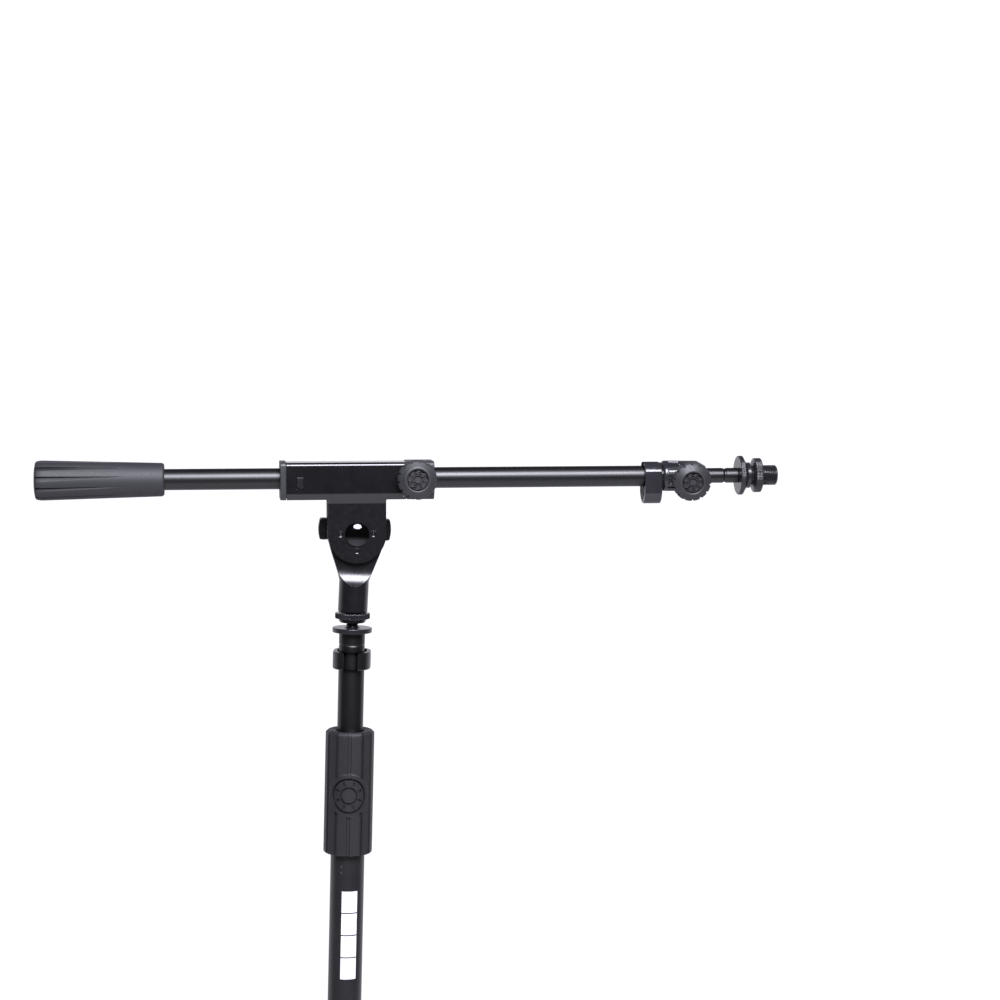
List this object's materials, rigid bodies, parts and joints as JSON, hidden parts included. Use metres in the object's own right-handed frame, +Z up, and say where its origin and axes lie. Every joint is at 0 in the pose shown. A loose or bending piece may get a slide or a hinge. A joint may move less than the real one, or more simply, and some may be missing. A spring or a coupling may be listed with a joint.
{
  "type": "boom microphone stand",
  "caption": "Tripod microphone stand with a twist-clutch telescoping mast and a telescoping boom that slides and tilts in a folded-steel head, held by knobs and a wing nut.",
  "frame": {"origin": "on the floor under the mast's axis", "axes": "+Z up the mast, +X along the boom towards the microphone, -Y the side of the hand knobs"},
  "size_m": [0.6524, 0.5692, 0.9694],
  "materials": {
    "satin_black_tube": "satin black powder coat",
    "gloss_black_steel": "gloss black enamel",
    "gloss_black_casting": "gloss black enamel on a zinc casting",
    "dark_grey_plastic": "fine matt moulded texture",
    "black_plastic": "satin moulded",
    "soft_rubber": "soft matt",
    "black_chrome": "black chrome plate",
    "zinc_steel": "zinc plated",
    "brass": "turned",
    "friction_fibre": "pressed fibre",
    "natural_nylon": "natural moulded nylon"
  },
  "bodies": {
    "base": {"hub_body": "gloss_black_casting", "hub_bottom_cover": "black_plastic", "leg_pin_1": "zinc_steel", "leg_pin_2": "zinc_steel", "leg_pin_3": "zinc_steel", "mast_outer_tube": "satin_black_tube", "clutch_socket": "natural_nylon", "clutch_collet": "natural_nylon"},
    "hub_nut": {"hub_lock_nut": "black_plastic"},
    "leg_1": {"leg_knuckle_1": "gloss_black_casting", "leg_tube_1": "satin_black_tube", "leg_foot_1": "soft_rubber"},
    "leg_2": {"leg_knuckle_2": "gloss_black_casting", "leg_tube_2": "satin_black_tube", "leg_foot_2": "soft_rubber"},
    "leg_3": {"leg_knuckle_3": "gloss_black_casting", "leg_tube_3": "satin_black_tube", "leg_foot_3": "soft_rubber"},
    "clutch": {"clutch_grip": "soft_rubber", "clutch_nut": "black_plastic"},
    "mast": {"mast_inner_tube": "satin_black_tube", "mast_guide_bush": "natural_nylon", "mast_top_plug": "black_chrome", "mast_stud": "black_chrome"},
    "lock_ring": {"mast_lock_ring": "black_chrome"},
    "mast_clip": {"mast_cable_clip": "black_plastic"},
    "swivel": {"swivel_stalk": "gloss_black_casting", "stalk_thread_insert": "brass", "friction_washer_front": "friction_fibre", "friction_washer_rear": "friction_fibre"},
    "head": {"boom_housing": "gloss_black_steel", "housing_cap_rear": "dark_grey_plastic", "housing_cap_front": "dark_grey_plastic", "boom_guide_liner": "natural_nylon", "pivot_bolt": "black_chrome", "pivot_washer": "zinc_steel", "boom_clamp_insert": "brass", "boom_clamp_pad": "natural_nylon"},
    "wing_nut": {"tilt_wing_nut": "black_plastic", "wing_nut_insert": "brass"},
    "boom_clamp": {"boom_clamp_knob": "dark_grey_plastic", "boom_clamp_screw": "zinc_steel"},
    "boom": {"boom_tube": "satin_black_tube", "boom_handle": "soft_rubber", "rod_clutch_collar": "black_plastic", "rod_clutch_bush": "natural_nylon", "rod_clamp_insert": "brass", "rod_clamp_pad": "natural_nylon"},
    "boom_clip": {"boom_cable_clip": "black_plastic"},
    "rod_clamp": {"rod_clamp_knob": "dark_grey_plastic", "rod_clamp_screw": "zinc_steel"},
    "rod": {"boom_rod": "satin_black_tube", "rod_guide_bush": "natural_nylon", "mic_stud": "black_chrome"},
    "mic_ring": {"mic_lock_ring": "black_chrome"}
  },
  "joints": [
    {"name": "leg_fold_1", "type": "hinge", "parent": "base", "child": "leg_1", "pos_m": [-0.036, 0, 0.066], "axis": [0, 1, 0], "range_deg": [0, 101]},
    {"name": "leg_fold_2", "type": "hinge", "parent": "base", "child": "leg_2", "pos_m": [0.018, 0.03118, 0.066], "axis": [0.866, -0.5, 0], "range_deg": [0, 101]},
    {"name": "leg_fold_3", "type": "hinge", "parent": "base", "child": "leg_3", "pos_m": [0.018, -0.03118, 0.066], "axis": [-0.866, -0.5, 0], "range_deg": [0, 101]},
    {"name": "hub_nut_turn", "type": "hinge", "parent": "base", "child": "hub_nut", "pos_m": [0, 0, 0.0955], "axis": [0, 0, 1], "continuous": true},
    {"name": "clutch_twist", "type": "hinge", "parent": "base", "child": "clutch", "pos_m": [0, 0, 0.707], "axis": [0, 0, 1], "range_deg": [-90, 90]},
    {"name": "mast_lift", "type": "slide", "parent": "base", "child": "mast", "axis": [0, 0, 1], "range_m": [-0.045, 0.52]},
    {"name": "lock_ring_turn", "type": "hinge", "parent": "mast", "child": "lock_ring", "pos_m": [0, 0, 0.8405], "axis": [0, 0, 1], "continuous": true},
    {"name": "mast_clip_turn", "type": "hinge", "parent": "mast", "child": "mast_clip", "pos_m": [0, 0, 0.808], "axis": [0, 0, 1], "continuous": true},
    {"name": "boom_pan", "type": "hinge", "parent": "mast", "child": "swivel", "pos_m": [0, 0, 0.85], "axis": [0, 0, 1], "continuous": true},
    {"name": "boom_tilt", "type": "hinge", "parent": "swivel", "child": "head", "pos_m": [0.0016, 0, 0.905], "axis": [0, -1, 0], "range_deg": [-90, 88.5]},
    {"name": "wing_nut_turn", "type": "hinge", "parent": "head", "child": "wing_nut", "pos_m": [0.0016, 0.02, 0.905], "axis": [0, 1, 0], "continuous": true},
    {"name": "boom_clamp_turn", "type": "hinge", "parent": "head", "child": "boom_clamp", "pos_m": [0.04486, -0.02, 0.94807], "axis": [0, -1, 0], "continuous": true},
    {"name": "boom_slide", "type": "slide", "parent": "head", "child": "boom", "axis": [0.9997, 0, 0.0244], "range_m": [-0.155, 0.085]},
    {"name": "boom_clip_turn", "type": "hinge", "parent": "boom", "child": "boom_clip", "pos_m": [0.22861, 0, 0.95256], "axis": [0.9997, 0, 0.0244], "continuous": true},
    {"name": "rod_clamp_turn", "type": "hinge", "parent": "boom", "child": "rod_clamp", "pos_m": [0.2558, 0, 0.95322], "axis": [0.0034, -0.9903, -0.1391], "continuous": true},
    {"name": "rod_slide", "type": "slide", "parent": "boom", "child": "rod", "axis": [0.9997, 0, 0.0244], "range_m": [-0.022, 0.3]},
    {"name": "mic_ring_turn", "type": "hinge", "parent": "rod", "child": "mic_ring", "pos_m": [0.31148, 0, 0.95459], "axis": [0.9997, 0, 0.0244], "continuous": true}
  ]
}
